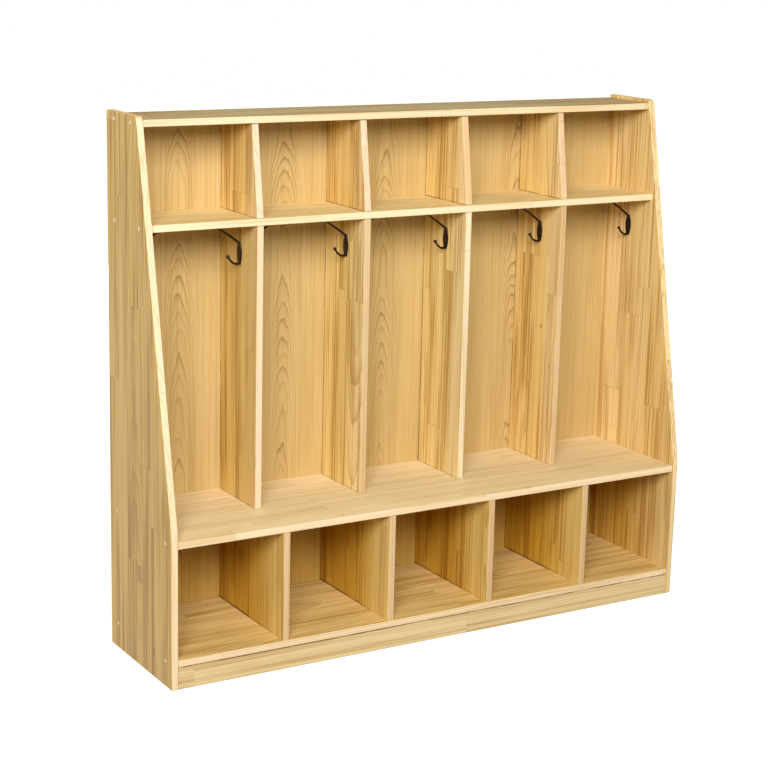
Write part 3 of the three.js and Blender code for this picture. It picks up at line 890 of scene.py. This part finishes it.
def dark_bronze(name, rub_share):
    """Oil-rubbed bronze: near black, browner where it is rubbed, smooth as cast and polished"""
    material, tree, shader = begin_material(name)
    cloud = noise(tree, unit_place(tree), scale=BRONZE_CLOUD_SCALE, detail=3.0)
    grit = noise(tree, unit_place(tree), scale=BRONZE_GRIT_SCALE)
    rubbed = cloud.rise(*BRONZE_RUB_NOISE) * rub_share
    colour = mix_colours(tree, rubbed, BRONZE_DARK, BRONZE_RUBBED)
    relief = cloud * BRONZE_RELIEF_SHARE + grit * (1 - BRONZE_RELIEF_SHARE)
    feed_shader(tree, shader, colour, grit.spread(*BRONZE_ROUGHNESS_SPREAD), relief, BRONZE_BUMP)
    feed(tree, shader.inputs["Metallic"], rubbed.spread(*BRONZE_METAL_SPREAD))
    lacquer(shader, *BRONZE_COAT)
    return material


def zinc_nail():
    material, tree, shader = begin_material("zinc_nail")
    cloud = noise(tree, unit_place(tree), scale=ZINC_CLOUD_SCALE)
    feed(tree, shader.inputs["Base Color"], mix_colours(tree, cloud, ZINC_DULL, ZINC_BRIGHT))
    feed(tree, shader.inputs["Roughness"], cloud.spread(*ZINC_ROUGHNESS_SPREAD))
    shader.inputs["Metallic"].default_value = 1.0
    return material


def mesh_of(bm, name):
    """A new mesh with what a bmesh holds, which is then freed"""
    mesh = bpy.data.meshes.new(name)
    bm.to_mesh(mesh)
    bm.free()
    return mesh


def put_in_scene(name, data):
    """A new object for a mesh, a camera or a lamp"""
    item = bpy.data.objects.new(name, data)
    bpy.context.scene.collection.objects.link(item)
    return item


def give_finish(mesh, material):
    """Gives a piece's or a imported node's mesh its one material"""
    mesh.materials.clear()
    mesh.materials.append(material)


def new_piece(name, mesh, material):
    """Puts a finished mesh into the scene as a piece of the unit"""
    piece = put_in_scene(name, mesh)
    give_finish(mesh, material)
    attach(piece, "root")
    return piece


def finished_mesh(name, source, modifiers):
    """A new mesh made from a mesh by modifiers, given as (kind, settings)"""
    worker = put_in_scene(name + "_worker", source)
    for kind, settings in modifiers:
        modifier = worker.modifiers.new(kind.lower(), kind)
        for key, value in settings.items():
            setattr(modifier, key, value)
    graph = bpy.context.evaluated_depsgraph_get()
    graph.update()
    mesh = bpy.data.meshes.new_from_object(worker.evaluated_get(graph))
    mesh.name = name
    bpy.data.objects.remove(worker)
    return mesh


def eased_board(name):
    """A board's solid with its loose triangles merged into faces, so that its eased edges shade as curves"""
    bm = bmesh.new()
    bm.from_mesh(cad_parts[name].data)
    bmesh.ops.remove_doubles(bm, verts=bm.verts, dist=MERGE_DISTANCE)
    bmesh.ops.dissolve_limit(
        bm, angle_limit=FLAT_ANGLE, verts=bm.verts, edges=bm.edges, use_dissolve_boundaries=False
    )
    for face in bm.faces:
        face.smooth = True
    for edge in bm.edges:
        edge.smooth = edge.calc_face_angle(math.pi) < CRISP_ANGLE
    shading = {"keep_sharp": True, "weight": 100}
    return finished_mesh(name + "_board", mesh_of(bm, name + "_merged"), [("WEIGHTED_NORMAL", shading)])


def node_centre(name):
    low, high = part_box(name)
    return (low + high) / 2


def board_joints():
    """Where each divider and the kick board meet their neighbours, as joint_lines takes them"""
    top_of = {name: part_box(name)[1].z for name in LONG_BOARDS}
    under = {name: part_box(name)[0].z for name in LONG_BOARDS}
    between = {
        "upper": ("hat_shelf", "top_panel"),
        "middle": ("bench_seat", "hat_shelf"),
        "lower": ("bottom_shelf", "bench_seat"),
    }
    kick_line = (HEIGHT_AXIS, under["bottom_shelf"], JOINT_LINE_WIDTH, JOINT_LINE_STRENGTHS["kick"])
    joints = {KICK_BOARD: [kick_line]}
    for name in DIVIDERS:
        level = name.split("_")[0]
        below, above = between[level]
        foot_width = FOOT_LINE_WIDTH if level == "lower" else JOINT_LINE_WIDTH
        strength = JOINT_LINE_STRENGTHS[level]
        joints[name] = [
            (HEIGHT_AXIS, top_of[below], foot_width, strength),
            (HEIGHT_AXIS, under[above], JOINT_LINE_WIDTH, strength),
            (DEPTH_AXIS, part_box(name)[1].y, JOINT_LINE_WIDTH, 1.0),
        ]
    return joints


def add_boards():
    """Every pine board in its own cut of pine, with its grain the way that it runs on the real one"""
    grains = [(name, UPWARDS, TO_THE_BACK) for name in SIDE_PANELS + DIVIDERS]
    grains += [(name, ACROSS_THE_BAYS, TO_THE_BACK) for name in LONG_BOARDS]
    grains += [(KICK_BOARD, ACROSS_THE_BAYS, UPWARDS)]
    joints = board_joints()
    for number, (name, along, across) in enumerate(grains):
        seed = FIRST_SEED + number * SEED_STEP
        material = glued_pine(name, along, across, node_centre(name), seed, joints.get(name, []))
        piece = new_piece(name + "_dressed", eased_board(name), material)
        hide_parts(name)


def add_side_dowels(material):
    """Round pins sanded flush with the side panels' outer faces"""
    for name in SIDE_DOWELS:
        low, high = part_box(name)
        radius = (high.z - low.z) / 2
        bm = bmesh.new()
        bmesh.ops.create_cone(
            bm, cap_ends=True, segments=DOWEL_SIDES, radius1=radius, radius2=radius, depth=high.x - low.x
        )
        rims = [edge for edge in bm.edges if edge.calc_face_angle() > CRISP_ANGLE]
        bmesh.ops.bevel(
            bm, geom=rims, offset=DOWEL_CHAMFER, segments=2, profile=0.5, affect="EDGES", material=-1
        )
        turn = Matrix.Rotation(math.pi / 2, 4, "Y")
        bmesh.ops.transform(bm, matrix=Matrix.Translation((low + high) / 2) @ turn, verts=bm.verts)
        piece = new_piece(name + "_dressed", mesh_of(bm, name + "_pin"), material)
        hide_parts(name)


def curve_through(points, steps):
    """Points of one smooth curve through the given ones"""
    points = [Vector(point) for point in points]
    padded = [points[0] * 2 - points[1], *points, points[-1] * 2 - points[-2]]
    route = []
    for before, start, end, after in zip(padded, padded[1:], padded[2:], padded[3:]):
        for step in range(steps):
            t = step / steps
            pull = (end - before) * t + (before * 2 - start * 5 + end * 4 - after) * t**2
            route.append(start + (pull + (start * 3 - before - end * 3 + after) * t**3) / 2)
    return route + [points[-1]]


def add_bar(bm, route, radii):
    """A closed round bar along a route in the XZ plane, with its own radius at each point"""
    frames = []
    for index, (point, radius) in enumerate(zip(route, radii)):
        ahead = route[min(index + 1, len(route) - 1)] - route[max(index - 1, 0)]
        tangent = ahead.normalized()
        side = Vector((0, 1, 0))
        axes = Matrix((side, tangent.cross(side), tangent)).transposed() * radius
        frames.append(Matrix.Translation(point) @ axes.to_4x4())
    ring = bmesh.ops.create_circle(bm, cap_ends=True, radius=1, segments=BAR_SIDES, matrix=frames[0])["verts"]
    edges = [edge for edge in bm.edges if edge.verts[0] in ring and edge.verts[1] in ring]
    for last, following in zip(frames, frames[1:]):
        made = bmesh.ops.extrude_edge_only(bm, edges=edges)["geom"]
        ring = [item for item in made if isinstance(item, bmesh.types.BMVert)]
        edges = [item for item in made if isinstance(item, bmesh.types.BMEdge)]
        bmesh.ops.transform(bm, matrix=following @ last.inverted(), verts=ring)
    bmesh.ops.edgeloop_fill(bm, edges=edges)


def add_prong(bm, shares, reach, rise, root_height, ball_radius):
    """A bar that leaves the plate, tapers a little and ends in a ball"""
    root_out = PLATE_THICKNESS / 2
    points = [(-root_out - out * (reach - root_out), 0, root_height + up * rise) for out, up in shares]
    route = curve_through(points, BAR_STEPS)
    count = len(route) - 1
    radii = [BAR_RADIUS * (BAR_ROOT_SHARE - BAR_TAPER_SHARE * index / count) for index in range(count + 1)]
    add_bar(bm, route, radii)
    bmesh.ops.create_icosphere(
        bm, subdivisions=4, radius=ball_radius, matrix=Matrix.Translation(points[-1])
    )


def add_plate(bm):
    """The leaf-shaped plate, its back on X zero"""
    belly = PLATE_WIDTH - PLATE_END_WIDTH / 2
    outline = []
    for index in range(PLATE_STEPS + 1):
        t = index / PLATE_STEPS
        half = (PLATE_END_WIDTH / 2) * ((1 - t) ** 2 + t**2) + belly * 2 * t * (1 - t)
        outline.append((half, (t - 0.5) * PLATE_HEIGHT))
    outline += [(-half, height) for half, height in reversed(outline)]
    verts = [bm.verts.new((0, across, up)) for across, up in outline]
    back = bm.faces.new(verts)
    front = bmesh.ops.extrude_face_region(bm, geom=[back], use_keep_orig=True)["geom"]
    front_verts = [item for item in front if isinstance(item, bmesh.types.BMVert)]
    bmesh.ops.translate(bm, vec=(-PLATE_THICKNESS, 0, 0), verts=front_verts)
    front_face = next(item for item in front if isinstance(item, bmesh.types.BMFace))
    bmesh.ops.bevel(
        bm, geom=front_face.edges[:], offset=PLATE_EASE, segments=3, profile=0.5, affect="EDGES", material=-1
    )


def casting_mesh():
    """One casting: plate, bars and balls run into each other with soft fillets, as cast metal does"""
    bm = bmesh.new()
    add_plate(bm)
    prong_root = PLATE_HEIGHT / 2 - BAR_RADIUS
    add_prong(bm, UPPER_SHARES, UPPER_REACH, UPPER_RISE, prong_root, UPPER_BALL_RADIUS)
    add_prong(bm, LOWER_SHARES, LOWER_REACH, LOWER_RISE, -prong_root, LOWER_BALL_RADIUS)
    bmesh.ops.recalc_face_normals(bm, faces=bm.faces)
    remesh = {"mode": "VOXEL", "voxel_size": CASTING_VOXEL, "use_smooth_shade": True}
    casting = finished_mesh("hook_casting", mesh_of(bm, "hook_parts"), [("REMESH", remesh)])
    bm = bmesh.new()
    bm.from_mesh(casting)
    bmesh.ops.bisect_plane(
        bm, geom=bm.verts[:] + bm.edges[:] + bm.faces[:], dist=MERGE_DISTANCE,
        plane_co=(0, 0, 0), plane_no=(1, 0, 0), clear_outer=True
    )
    bmesh.ops.edgeloop_fill(bm, edges=[edge for edge in bm.edges if edge.is_boundary])
    free = [vert for vert in bm.verts if vert.co.x < -CASTING_VOXEL]
    for _ in range(SMOOTHING_ROUNDS):
        bmesh.ops.smooth_vert(bm, verts=free, factor=0.5, use_axis_x=True, use_axis_y=True, use_axis_z=True)
    bm.to_mesh(casting)
    bm.free()
    return casting


def screw_blank_mesh():
    """An oval countersunk head along X, its rim on X zero"""
    neck = SCREW_HEAD_RADIUS * SCREW_NECK_SHARE
    profile = [(0.0, SCREW_CROWN)]
    profile += [(share * SCREW_HEAD_RADIUS, SCREW_CROWN * (1 - share**2)) for share in CROWN_SHARES]
    profile += [(SCREW_HEAD_RADIUS, 0.0), (neck, -neck), (0.0, -neck)]
    bm = bmesh.new()
    verts = [bm.verts.new((-out, radius, 0)) for radius, out in profile]
    edges = [bm.edges.new(pair) for pair in zip(verts, verts[1:])]
    bmesh.ops.spin(
        bm, geom=verts + edges, cent=(0, 0, 0), axis=(1, 0, 0), angle=2 * math.pi, steps=SCREW_SIDES,
        use_merge=True
    )
    bmesh.ops.remove_doubles(bm, verts=bm.verts, dist=MERGE_DISTANCE)
    bmesh.ops.recalc_face_normals(bm, faces=bm.faces)
    return mesh_of(bm, "screw_blank")


def screw_head_mesh():
    """The head with its cross recess"""
    bm = bmesh.new()
    for turn in (RECESS_TURN, RECESS_TURN + math.pi / 2):
        arm = bmesh.ops.create_cube(bm, size=1)["verts"]
        bmesh.ops.scale(bm, vec=(2 * RECESS_DEPTH, RECESS_WIDTH, RECESS_LENGTH), verts=arm)
        bmesh.ops.rotate(bm, cent=(0, 0, 0), matrix=Matrix.Rotation(turn, 3, "X"), verts=arm)
    bmesh.ops.translate(bm, vec=(-SCREW_CROWN, 0, 0), verts=bm.verts)
    cutter = put_in_scene("screw_recess", mesh_of(bm, "screw_recess"))
    cut = {"operation": "DIFFERENCE", "object": cutter, "solver": "EXACT", "use_self": True}
    mesh = finished_mesh("screw_head", screw_blank_mesh(), [("BOOLEAN", cut)])
    bpy.data.objects.remove(cutter)
    return mesh


def add_hooks(bronze, screw_finish):
    """Ten hooks, two facing each other in each bay, with two screws each"""
    casting = casting_mesh()
    screw = screw_head_mesh()
    tip_height = PLATE_HEIGHT / 2 - BAR_RADIUS + UPPER_RISE + UPPER_BALL_RADIUS
    for name in COAT_HOOKS:
        low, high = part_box(name)
        on_left_wall = name.endswith("_left")
        wall = low.x if on_left_wall else high.x
        # The screws' shanks reach into the wall by as much as the hook's box does past the plate
        plate_back = wall + (PLATE_SINK if on_left_wall else -PLATE_SINK)
        place = Matrix.Translation((plate_back, (low.y + high.y) / 2, high.z - tip_height))
        if on_left_wall:
            place = place @ Matrix.Rotation(math.pi, 4, "Z")
        hook_mesh = casting.copy()
        hook_mesh.transform(place)
        hook = new_piece(name + "_dressed", hook_mesh, bronze)
        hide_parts(name)
        for level, offset in (("upper", SCREW_OFFSET), ("lower", -SCREW_OFFSET)):
            screw_mesh = screw.copy()
            screw_mesh.transform(place @ Matrix.Translation((-PLATE_THICKNESS, 0, offset)))
            new_piece(f"{name}_{level}_screw", screw_mesh, screw_finish)


def nail_places():
    """Rows of nails round the back panel's rim and into the dividers and shelves"""
    low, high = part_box(BACK_PANEL)
    columns = [low.x + NAIL_EDGE_DISTANCE, high.x - NAIL_EDGE_DISTANCE]
    columns += [node_centre(name).x for name in DIVIDERS if name.startswith("middle_")]
    rows = [low.z + NAIL_FOOT_DISTANCE, high.z - NAIL_EDGE_DISTANCE]
    rows += [node_centre(name).z for name in ("hat_shelf", "bench_seat")]
    per_column = round((high.z - low.z) / NAIL_SPACING)
    per_row = round((high.x - low.x) / NAIL_SPACING)
    places = []
    for x in columns:
        places += [(x, low.z + (index + 0.5) * (high.z - low.z) / per_column) for index in range(per_column)]
    for z in rows:
        places += [(low.x + (index + 0.5) * (high.x - low.x) / per_row, z) for index in range(per_row)]
    return high.y, places


def add_nails(material):
    """The heads of the nails that hold the back panel"""
    face, places = nail_places()
    turn = Matrix.Rotation(-math.pi / 2, 4, "X")
    top_radius = NAIL_HEAD_RADIUS * NAIL_HEAD_TOP_SHARE
    bm = bmesh.new()
    for x, z in places:
        place = Matrix.Translation((x, face + NAIL_HEAD_HEIGHT / 2, z)) @ turn
        bmesh.ops.create_cone(
            bm, cap_ends=True, segments=NAIL_SIDES, radius1=NAIL_HEAD_RADIUS, radius2=top_radius,
            depth=NAIL_HEAD_HEIGHT, matrix=place
        )
    new_piece("back_panel_nails", mesh_of(bm, "back_panel_nails"), material)


def add_camera():
    """The camera at the photograph's place, looking the way that it looked"""
    forward = Vector((
        math.sin(CAMERA_YAW) * math.cos(CAMERA_PITCH),
        math.cos(CAMERA_YAW) * math.cos(CAMERA_PITCH),
        -math.sin(CAMERA_PITCH),
    ))
    level_right = Vector((math.cos(CAMERA_YAW), -math.sin(CAMERA_YAW), 0))
    level_up = level_right.cross(forward)
    right = level_right * math.cos(CAMERA_ROLL) + level_up * math.sin(CAMERA_ROLL)
    up = level_up * math.cos(CAMERA_ROLL) - level_right * math.sin(CAMERA_ROLL)
    data = bpy.data.cameras.new("photo_camera")
    data.sensor_width = SENSOR_WIDTH_MM
    data.lens = SENSOR_WIDTH_MM * FOCAL_PIXELS / PICTURE_SIDE
    data.clip_end = CAMERA_REACH
    camera = put_in_scene("photo_camera", data)
    axes = Matrix((right, up, -forward)).transposed()
    camera.matrix_world = Matrix.Translation(CAMERA_PLACE) @ axes.to_4x4()
    bpy.context.scene.camera = camera


def seen_directly(tree):
    """1 for rays that look or mirror straight at a surface, 0 for light that falls from it"""
    path = tree.nodes.new("ShaderNodeLightPath")
    camera, glossy, passed = (
        Signal(tree, path.outputs[name]) for name in ("Is Camera Ray", "Is Glossy Ray", "Is Transmission Ray")
    )
    return camera.maths("MAXIMUM", glossy).maths("MAXIMUM", passed)


def add_floor():
    """A pale floor that looks white and keeps the unit's shadow"""
    bm = bmesh.new()
    bmesh.ops.create_grid(bm, x_segments=1, y_segments=1, size=FLOOR_HALF_SIZE)
    bmesh.ops.translate(bm, vec=(0, 0, -FLOOR_GAP), verts=bm.verts)
    mesh = mesh_of(bm, "studio_floor")
    material = bpy.data.materials.new("studio_floor")
    material.use_nodes = True
    tree = material.node_tree
    tree.nodes.clear()
    axes = unit_axes(tree)
    far = axes[BAYS_AXIS].distance(axes[DEPTH_AXIS]).rise(*FLOOR_FADE)
    matt = place_node(tree, "ShaderNodeBsdfDiffuse", {"Color": FLOOR_COLOUR})
    glow = seen_directly(tree) * far.spread(FLOOR_GLOW, 1 - FLOOR_GLOW)
    white = place_node(tree, "ShaderNodeEmission", {"Color": WHITE, "Strength": glow})
    both = place_node(tree, "ShaderNodeAddShader", {})
    tree.links.new(matt.outputs[0], both.inputs[0])
    tree.links.new(white.outputs[0], both.inputs[1])
    output = tree.nodes.new("ShaderNodeOutputMaterial")
    tree.links.new(both.outputs[0], output.inputs["Surface"])
    mesh.materials.append(material)
    floor = put_in_scene("studio_floor", mesh)


def add_lights():
    """The key softbox beside the camera, a weak one on the right, one behind the unit, and the room"""
    for name, place, target, width, height, power, colour in SOFTBOXES:
        data = bpy.data.lights.new(name, "AREA")
        data.shape = "RECTANGLE"
        data.size = width
        data.size_y = height
        data.energy = power
        data.color = colour
        lamp = put_in_scene(name, data)
        aim = (Vector(target) - Vector(place)).to_track_quat("-Z", "Y")
        lamp.matrix_world = Matrix.Translation(place) @ aim.to_matrix().to_4x4()
    world = bpy.data.worlds.new("pale_studio")
    bpy.context.scene.world = world
    world.use_nodes = True
    tree = world.node_tree
    background = next(node for node in tree.nodes if node.type == "BACKGROUND")
    seen = seen_directly(tree)
    feed(tree, background.inputs["Color"], mix_colours(tree, seen, ROOM_COLOUR, WHITE))
    feed(tree, background.inputs["Strength"], seen.spread(ROOM_LIGHT, 1 - ROOM_LIGHT))


add_camera()
add_floor()
add_lights()
add_boards()
ply = veneered_ply(Vector((0, node_centre(BACK_PANEL).y, 0)))
give_finish(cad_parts[BACK_PANEL].data, ply)
pale_dowel = dowel_end_grain()
add_side_dowels(pale_dowel)
for kick_dowel in KICK_DOWELS:
    give_finish(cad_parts[kick_dowel].data, pale_dowel)
add_hooks(dark_bronze("hook_bronze", HOOK_RUB_SHARE), dark_bronze("screw_bronze", SCREW_RUB_SHARE))
add_nails(zinc_nail())

bpy.context.scene.view_settings.view_transform = "Standard"
